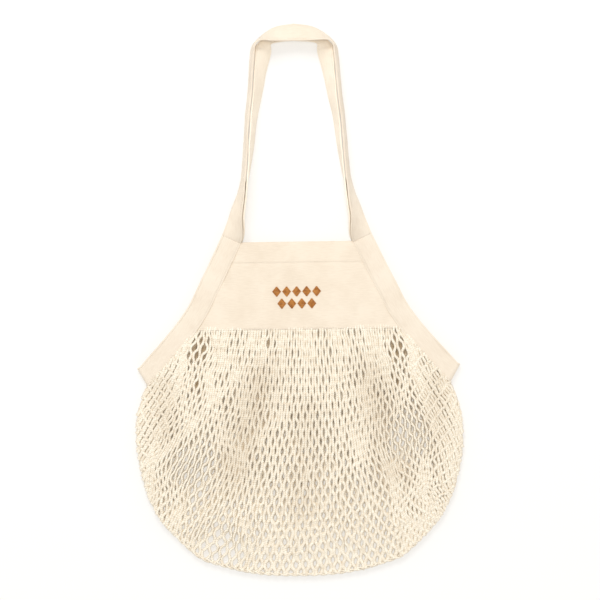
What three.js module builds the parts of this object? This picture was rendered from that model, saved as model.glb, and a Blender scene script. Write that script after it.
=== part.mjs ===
import * as THREE from 'three';

// String shopping bag lying flat on a table, all lengths in millimetres.
// X runs across the bag, Y from the net towards the straps, Z up from the table.
// The origin is the middle of the bag's outline, on the table.

// Driving sizes of the canvas parts
const STRAP_WIDTH = 25;
const BAND_WIDTH = 25;
const TAPE_THICKNESS = 2.4;
const CANVAS_THICKNESS = 1.2;
const PANEL_HEIGHT = 102;
const HEM_HEIGHT = 26;
const SHOULDER_SPAN = 157;
const SHOULDER_LEAN = 26;
const TIP_SPAN = 368;
const BAND_DROP = 162;
const STRAP_RISE = 252.5;

// Driving sizes of the net
const NET_WIDTH = 391;
const NET_DROP = 230;
const NET_WALL = 2.4;
const NET_LOFT = 17;
const NET_COLUMNS = 9;
const NET_ROWS = 6;

// Clearances
const MOUTH_GAP = 5;
const SEAM_GAP = 0.3;
const NET_SEAM_GAP = 0.9;
const TABLE_GAP = 0.1;

// Heights that follow from the sizes above
const BACK_LEVEL = TAPE_THICKNESS / 2;
const FRONT_LEVEL = TAPE_THICKNESS + MOUTH_GAP + TAPE_THICKNESS / 2;
const MIDDLE_LEVEL = (BACK_LEVEL + FRONT_LEVEL) / 2;
const TURN_RADIUS = (FRONT_LEVEL - BACK_LEVEL) / 2;
const RIM_TOP = FRONT_LEVEL + TAPE_THICKNESS / 2;

// Binding from the shoulder to the side fold.
// drop: share of BAND_DROP, out: share of the way from shoulder to tip,
// heading: plan direction across the band towards the net, in degrees.
const BAND_ROUTE = [
  { drop: 0, out: 0, heading: 180 + SHOULDER_LEAN },
  { drop: 0.22, out: 0.162, heading: 207 },
  { drop: 0.371, out: 0.278, heading: 209 },
  { drop: 0.523, out: 0.395, heading: 213 },
  { drop: 0.678, out: 0.562, heading: 218 },
  { drop: 0.831, out: 0.763, heading: 223 },
  { drop: 0.935, out: 0.908, heading: 231 },
  { drop: 1, out: 1, heading: 240 },
];

// Right half of the front strap, from the shoulder to the middle of the loop.
// rise: share of STRAP_RISE and out: share of the shoulder's outer corner, for the strap's
// low edge; lift: height of that edge as a share of FRONT_LEVEL; heading: plan direction
// across the strap, in degrees; lean: how far the strap stands up, in degrees.
const FRONT_STRAP = [
  { rise: 0, out: 1, lift: 1, heading: 180 + SHOULDER_LEAN, lean: 0 },
  { rise: 0.05, out: 0.941, lift: 0.88, heading: 205, lean: 12 },
  { rise: 0.097, out: 0.89, lift: 0.75, heading: 203, lean: 30 },
  { rise: 0.145, out: 0.84, lift: 0.57, heading: 199, lean: 50 },
  { rise: 0.192, out: 0.785, lift: 0.4, heading: 194, lean: 66 },
  { rise: 0.244, out: 0.743, lift: 0.29, heading: 189, lean: 75 },
  { rise: 0.295, out: 0.72, lift: 0.235, heading: 186, lean: 79 },
  { rise: 0.406, out: 0.694, lift: 0.21, heading: 184, lean: 80 },
  { rise: 0.545, out: 0.666, lift: 0.21, heading: 183, lean: 80 },
  { rise: 0.667, out: 0.628, lift: 0.21, heading: 183, lean: 80 },
  { rise: 0.774, out: 0.604, lift: 0.21, heading: 183, lean: 80 },
  { rise: 0.861, out: 0.583, lift: 0.25, heading: 185, lean: 80 },
  { rise: 0.893, out: 0.563, lift: 0.31, heading: 197, lean: 79 },
  { rise: 0.917, out: 0.514, lift: 0.38, heading: 215, lean: 77 },
  { rise: 0.939, out: 0.452, lift: 0.44, heading: 232, lean: 72 },
  { rise: 0.962, out: 0.368, lift: 0.49, heading: 246, lean: 57 },
  { rise: 0.986, out: 0.229, lift: 0.53, heading: 260, lean: 39 },
  { rise: 1, out: 0, lift: 0.54, heading: 270, lean: 30 },
];

// Right half of the back strap, a row for each row of the front strap it leans on.
// hinge: where on the front strap's width it leans; part: share of the distance between the
// two mouth levels that is left between the straps; heading: plan direction across it;
// drop: its slope in degrees, from stacked flat to turned over; width: share of STRAP_WIDTH
// that is left where it is creased under the corners of the loop.
const BACK_STRAP = [
  { hinge: 1, part: 1, heading: 180 + SHOULDER_LEAN, drop: 0, width: 1 },
  { hinge: 1, part: 0.8, heading: 205, drop: 12, width: 1 },
  { hinge: 1, part: 0.58, heading: 203, drop: 31, width: 1 },
  { hinge: 1, part: 0.32, heading: 199, drop: 52, width: 1 },
  { hinge: 1, part: 0.14, heading: 194, drop: 70, width: 1 },
  { hinge: 1, part: 0.04, heading: 189, drop: 83, width: 1 },
  { hinge: 1, part: 0, heading: 186, drop: 91, width: 1 },
  { hinge: 1, part: 0, heading: 184, drop: 99, width: 1 },
  { hinge: 0.98, part: 0, heading: 183, drop: 104, width: 1 },
  { hinge: 0.93, part: 0, heading: 183, drop: 112, width: 1 },
  { hinge: 0.86, part: 0, heading: 183, drop: 122, width: 1 },
  { hinge: 0.72, part: 0, heading: 185, drop: 135, width: 1 },
  { hinge: 0.5, part: 0, heading: 190, drop: 152, width: 0.85 },
  { hinge: 0.32, part: 0, heading: 196, drop: 166, width: 0.68 },
  { hinge: 0.2, part: 0, heading: 212, drop: 178, width: 0.52 },
  { hinge: 0.1, part: 0, heading: 238, drop: 190, width: 0.5 },
  { hinge: 0.04, part: 0, heading: 257, drop: 200, width: 0.7 },
  { hinge: 0, part: 0, heading: 270, drop: 206, width: 0.88 },
];

// Side fold of the net from the tip of the binding down to the bottom corner.
// drop: share of NET_DROP, out: share of half the NET_WIDTH.
const NET_SIDE = [
  { drop: 0, out: 0.935 },
  { drop: 0.05, out: 0.96 },
  { drop: 0.1, out: 0.98 },
  { drop: 0.18, out: 1 },
  { drop: 0.26, out: 1 },
  { drop: 0.34, out: 0.997 },
  { drop: 0.42, out: 0.982 },
  { drop: 0.5, out: 0.96 },
  { drop: 0.58, out: 0.932 },
  { drop: 0.65, out: 0.895 },
  { drop: 0.73, out: 0.836 },
  { drop: 0.8, out: 0.758 },
];

// Bottom fold of the net from its corner to the middle, in the same shares.
const NET_BOTTOM = [
  { drop: 0.8, out: 0.758 },
  { drop: 0.855, out: 0.692 },
  { drop: 0.91, out: 0.609 },
  { drop: 0.942, out: 0.5 },
  { drop: 0.97, out: 0.38 },
  { drop: 0.99, out: 0.25 },
  { drop: 0.998, out: 0.12 },
  { drop: 1, out: 0 },
];

// Height of the upper layer down the middle of the net.
// down: share of the way from rim to bottom, swell: share of the way from rim to NET_LOFT.
const NET_SWELL = [
  { down: 0, swell: 0 },
  { down: 0.15, swell: 0.45 },
  { down: 0.35, swell: 0.9 },
  { down: 0.55, swell: 1 },
  { down: 0.8, swell: 0.8 },
  { down: 1, swell: 0.2 },
];

// Folds pressed into the upper layer: both ends as shares of half the NET_WIDTH (across)
// and of the height from panel to bottom (down), depth as a share of the loft above the
// rim, reach as a share of NET_WIDTH.
const NET_FOLDS = [
  { across: -0.84, down: 0.23, acrossEnd: -0.82, downEnd: 0.42, depth: 0.35, reach: 0.045 },
  { across: -0.17, down: 0.08, acrossEnd: -0.41, downEnd: 0.57, depth: 0.5, reach: 0.06 },
  { across: 0.4, down: 0.07, acrossEnd: 0.58, downEnd: 0.57, depth: 0.5, reach: 0.06 },
  { across: 0.84, down: 0.23, acrossEnd: 0.82, downEnd: 0.45, depth: 0.35, reach: 0.045 },
  { across: 0.05, down: 0.35, acrossEnd: 0.02, downEnd: 0.75, depth: 0.25, reach: 0.05 },
];

// Shape of one gap in the net, as shares of its cell
const GAP_SIDE = 0.82;
const GAP_POINT = 0.86;
const GAP_CORNER_ACROSS = 0.74;
const GAP_CORNER_DOWN = 0.46;

// Round of the net's folds, as shares of its width and height
const SIDE_ROUND = 0.07;
const BOTTOM_ROUND = 0.1;
const FOLD_INSET = 0.01;
const GAP_MARGIN = 0.024;
const WALL_LIMIT = 0.4;

const radians = THREE.MathUtils.degToRad;

// Smooth value of one table column at a place between the rows
function columnAt(rows, column, place) {
  const last = rows.length - 1;
  const row = Math.min(Math.floor(place), last - 1);
  const before = rows[Math.max(row - 1, 0)][column];
  const start = rows[row][column];
  const end = rows[row + 1][column];
  const after = rows[Math.min(row + 2, last)][column];
  const t = place - row;
  const leave = (end - before) / 2;
  const arrive = (after - start) / 2;
  const bend = 2 * start - 2 * end + leave + arrive;
  const turn = 3 * end - 3 * start - 2 * leave - arrive;
  return ((bend * t + turn) * t + leave) * t + start;
}

// Straight-line value of a column, looked up by an increasing key column
function lookUp(rows, key, column, value) {
  let row = 0;
  while (row < rows.length - 2 && rows[row + 1][key] < value) {
    row += 1;
  }
  const span = rows[row + 1][key] - rows[row][key];
  const t = THREE.MathUtils.clamp((value - rows[row][key]) / span, 0, 1);
  return THREE.MathUtils.lerp(rows[row][column], rows[row + 1][column], t);
}

// Closed solid between two matching skins that share one list of triangles
function shellGeometry(outer, inner, faces) {
  const count = outer.length;
  const edges = new Map();
  const triangles = [];
  for (const [a, b, c] of faces) {
    triangles.push([a, b, c]);
    triangles.push([a + count, c + count, b + count]);
    for (const [from, to] of [[a, b], [b, c], [c, a]]) {
      if (edges.has(`${to},${from}`)) {
        edges.delete(`${to},${from}`);
      } else {
        edges.set(`${from},${to}`, [from, to]);
      }
    }
  }
  for (const [from, to] of edges.values()) {
    triangles.push([to, from, from + count]);
    triangles.push([to, from + count, to + count]);
  }
  const points = [...outer, ...inner];
  let volume = 0;
  for (const [a, b, c] of triangles) {
    volume += points[a].dot(points[b].clone().cross(points[c]));
  }
  const ordered = volume < 0 ? triangles.map(([a, b, c]) => [a, c, b]) : triangles;
  const geometry = new THREE.BufferGeometry();
  geometry.setAttribute('position', new THREE.Float32BufferAttribute(
    points.flatMap((point) => point.toArray()), 3));
  geometry.setIndex(ordered.flat());
  geometry.computeVertexNormals();
  return geometry;
}

// Solid of a sheet given as rows of matching skin points
function sheetGeometry(outerRows, innerRows) {
  const width = outerRows[0].length;
  const faces = [];
  for (let row = 0; row < outerRows.length - 1; row += 1) {
    for (let column = 0; column < width - 1; column += 1) {
      const corner = row * width + column;
      faces.push([corner, corner + width, corner + width + 1]);
      faces.push([corner, corner + width + 1, corner + 1]);
    }
  }
  return shellGeometry(outerRows.flat(), innerRows.flat(), faces);
}

// Plan direction of a heading in degrees
function planDirection(heading) {
  return new THREE.Vector3(Math.cos(radians(heading)), Math.sin(radians(heading)), 0);
}

function mirrored(point) {
  return new THREE.Vector3(-point.x, point.y, point.z);
}

// Places of the shoulder seam and the tips, measured from the shoulder's middle height
const shoulder = new THREE.Vector3(SHOULDER_SPAN / 2, 0, 0);
const shoulderAcross = planDirection(180 + SHOULDER_LEAN);
const shoulderAlong = planDirection(90 + SHOULDER_LEAN);
const strapCorner = shoulder.clone().addScaledVector(shoulderAcross, -STRAP_WIDTH / 2)
  .addScaledVector(shoulderAlong, SEAM_GAP);
const bandLast = BAND_ROUTE.length - 1;

// One cross line of the right-hand binding in plan
function bandStation(place) {
  const out = columnAt(BAND_ROUTE, 'out', place);
  const drop = columnAt(BAND_ROUTE, 'drop', place);
  const across = planDirection(columnAt(BAND_ROUTE, 'heading', place));
  const x = THREE.MathUtils.lerp(SHOULDER_SPAN / 2, TIP_SPAN / 2, out);
  return { middle: new THREE.Vector3(x, -drop * BAND_DROP, 0), across };
}

const tip = bandStation(bandLast);
const tipAlong = new THREE.Vector3(-tip.across.y, tip.across.x, 0);
const turnReach = TURN_RADIUS + TAPE_THICKNESS / 2;

// Edge of whatever is sewn to the binding, a gap clear of it
function seamPoint(place, gap) {
  const { middle, across } = bandStation(place);
  return middle.addScaledVector(across, BAND_WIDTH / 2 + gap);
}

const foldStart = seamPoint(bandLast, NET_SEAM_GAP).addScaledVector(tipAlong, turnReach);
const panelTop = seamPoint(0, SEAM_GAP).y;
const panelBottom = panelTop - PANEL_HEIGHT;
const netBottom = foldStart.y - NET_DROP;

// Seam line along the binding as a list of points from the shoulder to the tip
const SEAM_STEPS = 56;
function seamLine(gap) {
  const points = [];
  for (let step = 0; step <= SEAM_STEPS; step += 1) {
    points.push(seamPoint(bandLast * step / SEAM_STEPS, gap));
  }
  return points;
}

const panelSeam = seamLine(SEAM_GAP);
const netSeam = seamLine(NET_SEAM_GAP);

function seamAtHeight(points, y) {
  const below = points.findIndex((point) => point.y <= y);
  if (below <= 0) {
    return points[0].x;
  }
  const upper = points[below - 1];
  const lower = points[below];
  return THREE.MathUtils.mapLinear(y, upper.y, lower.y, upper.x, lower.x);
}

// Canvas panel with its turned hem on the inner side
function panelGeometry(outerLevel, inwards) {
  const hemStep = CANVAS_THICKNESS / 4;
  const heights = [0, HEM_HEIGHT / 2, HEM_HEIGHT, HEM_HEIGHT + hemStep];
  const plainRows = 4;
  for (let row = 1; row <= plainRows; row += 1) {
    heights.push(THREE.MathUtils.lerp(HEM_HEIGHT + hemStep, PANEL_HEIGHT, row / plainRows));
  }
  const columns = 8;
  const outerRows = [];
  const innerRows = [];
  for (const height of heights) {
    const y = panelTop - height;
    const half = seamAtHeight(panelSeam, y);
    const hem = height <= HEM_HEIGHT ? 2 * CANVAS_THICKNESS : CANVAS_THICKNESS;
    const outer = [];
    const inner = [];
    for (let column = 0; column <= columns; column += 1) {
      const x = THREE.MathUtils.lerp(half, -half, column / columns);
      outer.push(new THREE.Vector3(x, y, outerLevel));
      inner.push(new THREE.Vector3(x, y, outerLevel + inwards * hem));
    }
    outerRows.push(outer);
    innerRows.push(inner);
  }
  return sheetGeometry(outerRows, innerRows);
}

// Binding from the front shoulder round the side fold to the back shoulder
function bandGeometry(side) {
  const sections = [];
  const straightSteps = 14;
  const turnSteps = 6;
  const up = new THREE.Vector3(0, 0, 1);
  for (let step = 0; step <= straightSteps; step += 1) {
    const { middle, across } = bandStation(bandLast * step / straightSteps);
    sections.push({ middle, across, level: FRONT_LEVEL, thick: up });
  }
  for (let step = 1; step < turnSteps; step += 1) {
    const angle = Math.PI * step / turnSteps;
    const thick = tipAlong.clone().multiplyScalar(Math.sin(angle))
      .addScaledVector(up, Math.cos(angle));
    const middle = tip.middle.clone().addScaledVector(tipAlong, TURN_RADIUS * Math.sin(angle));
    const level = MIDDLE_LEVEL + TURN_RADIUS * Math.cos(angle);
    sections.push({ middle, across: tip.across, level, thick });
  }
  for (let step = straightSteps; step >= 0; step -= 1) {
    const { middle, across } = bandStation(bandLast * step / straightSteps);
    sections.push({ middle, across, level: BACK_LEVEL, thick: up.clone().negate() });
  }
  const outerRows = [];
  const innerRows = [];
  for (const { middle, across, level, thick } of sections) {
    const outer = [];
    const inner = [];
    for (const share of [-0.5, 0, 0.5]) {
      const point = middle.clone().setZ(level).addScaledVector(across, share * BAND_WIDTH);
      const skin = thick.clone().multiplyScalar(TAPE_THICKNESS / 2);
      const upper = point.clone().add(skin);
      const lower = point.clone().sub(skin);
      outer.push(side > 0 ? upper : mirrored(upper));
      inner.push(side > 0 ? lower : mirrored(lower));
    }
    outerRows.push(outer);
    innerRows.push(inner);
  }
  return sheetGeometry(outerRows, innerRows);
}

// Direction across a strap that stands up by an angle in degrees
function tiltedDirection(inwards, angle) {
  return inwards.clone().multiplyScalar(Math.cos(radians(angle)))
    .setZ(Math.sin(radians(angle)));
}

// Low edge, width and slope of the front strap at a place in the route
function frontStrapSection(place) {
  const inwards = planDirection(columnAt(FRONT_STRAP, 'heading', place));
  const lean = columnAt(FRONT_STRAP, 'lean', place);
  const edge = new THREE.Vector3(
    strapCorner.x * columnAt(FRONT_STRAP, 'out', place),
    strapCorner.y + STRAP_RISE * columnAt(FRONT_STRAP, 'rise', place),
    FRONT_LEVEL * columnAt(FRONT_STRAP, 'lift', place));
  return { edge, across: tiltedDirection(inwards, lean), width: STRAP_WIDTH, inwards, lean };
}

// The back strap leans on the inner face of the front strap
function backStrapSection(place) {
  const front = frontStrapSection(place);
  const apart = THREE.MathUtils.lerp(
    TAPE_THICKNESS + SEAM_GAP, FRONT_LEVEL - BACK_LEVEL, columnAt(BACK_STRAP, 'part', place));
  const hinge = front.edge.clone()
    .addScaledVector(front.across, STRAP_WIDTH * columnAt(BACK_STRAP, 'hinge', place))
    .addScaledVector(tiltedDirection(front.inwards, front.lean - 90), apart);
  const drop = columnAt(BACK_STRAP, 'drop', place);
  const width = STRAP_WIDTH * columnAt(BACK_STRAP, 'width', place);
  const across = tiltedDirection(planDirection(columnAt(BACK_STRAP, 'heading', place)), drop);
  const edge = hinge.addScaledVector(across, -width);
  const lowest = TABLE_GAP + TAPE_THICKNESS / 2 * Math.abs(Math.cos(radians(drop)));
  edge.z = Math.max(edge.z, lowest);
  return { edge, across, width };
}

// Strap swept through sections that start on the right and are mirrored for the left
function strapGeometry(sectionAt) {
  const stepsPerRow = 2;
  const steps = (FRONT_STRAP.length - 1) * stepsPerRow;
  const sections = [];
  for (let step = 0; step <= steps; step += 1) {
    sections.push(sectionAt(step / stepsPerRow));
  }
  for (let step = steps - 1; step >= 0; step -= 1) {
    const { edge, across, width } = sections[step];
    sections.push({ edge: mirrored(edge), across: mirrored(across), width });
  }
  const middles = sections.map(({ edge, across, width }) => (
    edge.clone().addScaledVector(across, width / 2)));
  const outerRows = [];
  const innerRows = [];
  sections.forEach(({ edge, across, width }, index) => {
    const ahead = middles[Math.min(index + 1, middles.length - 1)];
    const behind = middles[Math.max(index - 1, 0)];
    const thick = ahead.clone().sub(behind).cross(across).normalize();
    thick.multiplyScalar(TAPE_THICKNESS / 2);
    const outer = [];
    const inner = [];
    for (const share of [0, 0.5, 1]) {
      const point = edge.clone().addScaledVector(across, share * width);
      outer.push(point.clone().add(thick));
      inner.push(point.clone().sub(thick));
    }
    outerRows.push(outer);
    innerRows.push(inner);
  });
  return sheetGeometry(outerRows, innerRows);
}

// Rim of the net from the right tip along the binding and under the panel, as plan points
const RIM_BAND_SHARE = 1 / 6;
const netTop = panelBottom - SEAM_GAP;
const rimCorner = new THREE.Vector3(seamAtHeight(netSeam, netTop), netTop, 0);
const rimBand = [foldStart, ...netSeam.filter((point) => point.y < netTop).reverse(), rimCorner];

// Point at a share of the length of a line of points
function alongLine(points, share) {
  const lengths = [0];
  for (let index = 1; index < points.length; index += 1) {
    lengths.push(lengths[index - 1] + points[index].distanceTo(points[index - 1]));
  }
  const target = share * lengths[points.length - 1];
  let index = 1;
  while (index < points.length - 1 && lengths[index] < target) {
    index += 1;
  }
  const span = lengths[index] - lengths[index - 1];
  return points[index - 1].clone().lerp(points[index], (target - lengths[index - 1]) / span);
}

function rimPoint(u) {
  const half = Math.min(u, 1 - u);
  if (half >= RIM_BAND_SHARE) {
    const t = (u - RIM_BAND_SHARE) / (1 - 2 * RIM_BAND_SHARE);
    return new THREE.Vector3(THREE.MathUtils.lerp(-rimCorner.x, rimCorner.x, t), netTop, 0);
  }
  const point = alongLine(rimBand, half / RIM_BAND_SHARE);
  return u < 0.5 ? mirrored(point) : point;
}

// Outline points from a table of shares; the first rows follow the tip of the binding
const FOLLOW_TIP = 0.2;
function outlinePoints(rows) {
  const offset = foldStart.x - NET_SIDE[0].out * NET_WIDTH / 2;
  const steps = (rows.length - 1) * 2;
  const points = [];
  for (let step = 0; step <= steps; step += 1) {
    const drop = columnAt(rows, 'drop', step / 2);
    const out = columnAt(rows, 'out', step / 2);
    const follow = Math.max(0, 1 - drop / FOLLOW_TIP);
    points.push(new THREE.Vector3(
      out * NET_WIDTH / 2 + offset * follow, foldStart.y - drop * NET_DROP, 0));
  }
  return points;
}

const sideLine = outlinePoints(NET_SIDE);
const bottomLine = outlinePoints(NET_BOTTOM);
const bottomCorner = bottomLine[0];

function bottomPoint(u) {
  const point = alongLine(bottomLine, 1 - Math.abs(2 * u - 1));
  return u < 0.5 ? mirrored(point) : point;
}

// Plan point of the net: u across from left to right, v down from rim to bottom
function netPlan(u, v) {
  const side = alongLine(sideLine, v);
  const acrossPart = rimPoint(u).lerp(bottomPoint(u), v);
  const sidePart = mirrored(side).lerp(side, u);
  const rimEnds = mirrored(foldStart).lerp(foldStart, u);
  const bottomEnds = mirrored(bottomCorner).lerp(bottomCorner, u);
  return acrossPart.add(sidePart).sub(rimEnds.lerp(bottomEnds, v));
}

// Depth of the pressed folds at a plan point
function foldDepth(point) {
  let depth = 0;
  for (const fold of NET_FOLDS) {
    const height = netTop - netBottom;
    const half = NET_WIDTH / 2;
    const start = new THREE.Vector3(fold.across * half, netTop - fold.down * height, 0);
    const end = new THREE.Vector3(fold.acrossEnd * half, netTop - fold.downEnd * height, 0);
    const nearest = new THREE.Line3(start, end).closestPointToPoint(
      point, true, new THREE.Vector3());
    const away = nearest.distanceTo(point) / (fold.reach * NET_WIDTH);
    depth += fold.depth * Math.exp(-away * away);
  }
  return Math.min(depth, 1);
}

// Quarter-round rise from a fold line, 0 on the fold and 1 past its round
function roundRise(share) {
  const rest = 1 - Math.min(share, 1);
  return Math.sqrt(1 - rest * rest);
}

// Outer and inner skin of one layer of the net
function netSkins(u, v, layer) {
  const onFold = u === 0 || u === 1 || v === 1;
  const plan = netPlan(u, v);
  if (onFold) {
    const insetU = THREE.MathUtils.clamp(u, FOLD_INSET, 1 - FOLD_INSET);
    const insetV = Math.min(v, 1 - FOLD_INSET);
    return {
      outer: plan.setZ(MIDDLE_LEVEL),
      inner: netPlan(insetU, insetV).setZ(MIDDLE_LEVEL),
    };
  }
  const rise = roundRise(Math.min(u, 1 - u) / SIDE_ROUND) * roundRise((1 - v) / BOTTOM_ROUND);
  const loft = NET_LOFT - RIM_TOP;
  const swell = lookUp(NET_SWELL, 'down', 'swell', v);
  const crest = RIM_TOP + loft * swell * (1 - foldDepth(plan));
  const top = THREE.MathUtils.lerp(MIDDLE_LEVEL, crest, rise);
  const under = MIDDLE_LEVEL * (1 - rise);
  const wall = Math.min(NET_WALL, WALL_LIMIT * (top - under));
  const outer = plan.clone().setZ(layer === 'front' ? top : under);
  const inner = plan.clone().setZ(layer === 'front' ? top - wall : under + wall);
  return { outer, inner };
}

// One knitted pouch: two layers joined at the sides and bottom, open at the rim
function netGeometry() {
  const outer = [];
  const inner = [];
  const faces = [];
  const known = new Map();
  const vertex = (u, v, layer) => {
    const onFold = u === 0 || u === 1 || v === 1;
    const key = `${u.toFixed(5)},${v.toFixed(5)},${onFold ? 'fold' : layer}`;
    if (!known.has(key)) {
      const skins = netSkins(u, v, layer);
      known.set(key, outer.length);
      outer.push(skins.outer);
      inner.push(skins.inner);
    }
    return known.get(key);
  };
  const cell = (left, right, row, layer) => {
    const top = row / NET_ROWS;
    const bottom = (row + 1) / NET_ROWS;
    const middle = (left + right) / 2;
    const centre = (top + bottom) / 2;
    const halfAcross = (right - left) / 2;
    const halfDown = (bottom - top) / 2;
    const whole = right - left > 0.75 / NET_COLUMNS;
    const border = [
      { u: left, v: top, across: -GAP_CORNER_ACROSS, down: -GAP_CORNER_DOWN },
      { u: left, v: centre, across: -GAP_SIDE, down: 0 },
      { u: left, v: bottom, across: -GAP_CORNER_ACROSS, down: GAP_CORNER_DOWN },
      ...(whole ? [{ u: middle, v: bottom, across: 0, down: GAP_POINT }] : []),
      { u: right, v: bottom, across: GAP_CORNER_ACROSS, down: GAP_CORNER_DOWN },
      { u: right, v: centre, across: GAP_SIDE, down: 0 },
      { u: right, v: top, across: GAP_CORNER_ACROSS, down: -GAP_CORNER_DOWN },
      ...(whole ? [{ u: middle, v: top, across: 0, down: -GAP_POINT }] : []),
    ];
    const rim = border.map(({ u, v }) => vertex(u, v, layer));
    const gap = border.map(({ across, down }) => vertex(
      THREE.MathUtils.clamp(middle + across * halfAcross, GAP_MARGIN, 1 - GAP_MARGIN),
      centre + down * halfDown, layer));
    rim.forEach((corner, index) => {
      const next = (index + 1) % rim.length;
      const quad = [[corner, rim[next], gap[next]], [corner, gap[next], gap[index]]];
      for (const [a, b, c] of quad) {
        faces.push(layer === 'front' ? [a, b, c] : [a, c, b]);
      }
    });
  };
  for (const layer of ['front', 'back']) {
    for (let row = 0; row < NET_ROWS; row += 1) {
      const shifted = row % 2 === 1;
      const edges = [0];
      for (let column = shifted ? 0.5 : 1; column < NET_COLUMNS; column += 1) {
        edges.push(column / NET_COLUMNS);
      }
      edges.push(1);
      for (let index = 0; index < edges.length - 1; index += 1) {
        cell(edges[index], edges[index + 1], row, layer);
      }
    }
  }
  return shellGeometry(outer, inner, faces);
}

// Materials
function clothMaterial(colour, roughness) {
  return new THREE.MeshStandardMaterial({ color: colour, roughness, metalness: 0 });
}

const bag = new THREE.Group();

function addPart(name, geometry, material) {
  const mesh = new THREE.Mesh(geometry, material);
  mesh.name = name;
  bag.add(mesh);
}

const CANVAS_COLOUR = 0xfceedb;
const TAPE_COLOUR = 0xfdf1df;
const NET_COLOUR = 0xeaddc8;

addPart('panel_front', panelGeometry(RIM_TOP, -1), clothMaterial(CANVAS_COLOUR, 0.9));
addPart('panel_back', panelGeometry(0, 1), clothMaterial(CANVAS_COLOUR, 0.9));
addPart('side_band_right', bandGeometry(1), clothMaterial(TAPE_COLOUR, 0.9));
addPart('side_band_left', bandGeometry(-1), clothMaterial(TAPE_COLOUR, 0.9));
addPart('strap_front', strapGeometry(frontStrapSection), clothMaterial(TAPE_COLOUR, 0.9));
addPart('strap_back', strapGeometry(backStrapSection), clothMaterial(TAPE_COLOUR, 0.9));
addPart('net_bag', netGeometry(), clothMaterial(NET_COLOUR, 0.95));

// The origin goes to the middle of the outline, on the table
const outline = new THREE.Box3().setFromObject(bag, true);
const outlineMiddle = outline.getCenter(new THREE.Vector3());
bag.position.set(-outlineMiddle.x, -outlineMiddle.y, -outline.min.z);

export default bag;
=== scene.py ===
import math

import bpy
import numpy as np
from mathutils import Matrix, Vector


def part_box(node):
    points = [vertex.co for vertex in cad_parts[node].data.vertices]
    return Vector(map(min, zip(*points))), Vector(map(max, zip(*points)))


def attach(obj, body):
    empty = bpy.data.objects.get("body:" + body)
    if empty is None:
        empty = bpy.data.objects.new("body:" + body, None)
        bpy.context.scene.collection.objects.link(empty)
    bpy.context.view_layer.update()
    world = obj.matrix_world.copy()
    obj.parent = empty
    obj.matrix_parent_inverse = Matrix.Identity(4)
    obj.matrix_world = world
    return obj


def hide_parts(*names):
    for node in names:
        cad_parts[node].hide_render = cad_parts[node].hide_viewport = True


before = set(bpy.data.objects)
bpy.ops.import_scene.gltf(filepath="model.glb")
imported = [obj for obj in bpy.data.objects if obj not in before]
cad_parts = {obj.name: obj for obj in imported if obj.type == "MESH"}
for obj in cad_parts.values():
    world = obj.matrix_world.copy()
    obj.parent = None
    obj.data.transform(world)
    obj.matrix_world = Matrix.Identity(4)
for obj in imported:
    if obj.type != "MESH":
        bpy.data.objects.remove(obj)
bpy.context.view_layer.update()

# String shopping bag, lying flat and seen from straight above.
# Lengths are in millimetres up to mesh making, where MM turns them into metres.
MM = 0.001

# Canvas sizes and clearances, as in the part
STRAP_WIDTH = 25.0
BAND_WIDTH = 25.0
TAPE_THICKNESS = 2.4
CANVAS_THICKNESS = 1.2
PANEL_HEIGHT = 102.0
HEM_HEIGHT = 26.0
SHOULDER_SPAN = 157.0
SHOULDER_LEAN = 26.0
TIP_SPAN = 368.0
BAND_DROP = 162.0
STRAP_RISE = 252.5
MOUTH_GAP = 5.0
SEAM_GAP = 0.3
TABLE_GAP = 0.1

# Net sizes, as in the part, and the yarn that the part leaves out
NET_WIDTH = 391.0
NET_DROP = 230.0
NET_LOFT = 17.0
YARN_RADIUS = 1.62
LEG_LENGTH = 11.4
WALES = 112
ROWS = 33

# Heights of the lower and the upper tape's middle, half-way between them, and of the rim
BACK_LEVEL = TAPE_THICKNESS / 2
FRONT_LEVEL = TAPE_THICKNESS * 1.5 + MOUTH_GAP
MIDDLE_LEVEL = (BACK_LEVEL + FRONT_LEVEL) / 2
TURN_RADIUS = (FRONT_LEVEL - BACK_LEVEL) / 2
RIM_TOP = FRONT_LEVEL + TAPE_THICKNESS / 2

# Middle of the right binding: shares of BAND_DROP and of the way out from the shoulder to the
# tip, and the heading across it in degrees
BAND_ROUTE = (
    ("drop", "out", "heading"),
    (0.0, 0.0, 180 + SHOULDER_LEAN),
    (0.22, 0.162, 207),
    (0.371, 0.278, 209),
    (0.523, 0.395, 213),
    (0.678, 0.562, 218),
    (0.831, 0.763, 223),
    (0.935, 0.908, 231),
    (1.0, 1.0, 240),
)
# Inner edge of the front strap from the right shoulder to the top: shares of STRAP_RISE, of the
# shoulder's distance from the middle and of FRONT_LEVEL, then heading and lean in degrees
FRONT_STRAP = (
    ("rise", "out", "lift", "heading", "lean"),
    (0.0, 1.0, 1.0, 180 + SHOULDER_LEAN, 0),
    (0.05, 0.941, 0.88, 205, 30),
    (0.097, 0.89, 0.72, 203, 52),
    (0.145, 0.84, 0.53, 199, 62),
    (0.192, 0.785, 0.38, 194, 71),
    (0.244, 0.743, 0.29, 189, 77),
    (0.295, 0.72, 0.235, 186, 79),
    (0.406, 0.694, 0.21, 184, 80),
    (0.545, 0.666, 0.21, 183, 80),
    (0.667, 0.628, 0.21, 183, 80),
    (0.774, 0.604, 0.21, 183, 80),
    (0.861, 0.583, 0.25, 185, 80),
    (0.893, 0.563, 0.3, 195, 82),
    (0.917, 0.514, 0.33, 226, 83),
    (0.939, 0.452, 0.4, 249, 75),
    (0.962, 0.368, 0.47, 257, 60),
    (0.986, 0.229, 0.53, 264, 42),
    (1.0, 0.0, 0.54, 270, 30),
)
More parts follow.
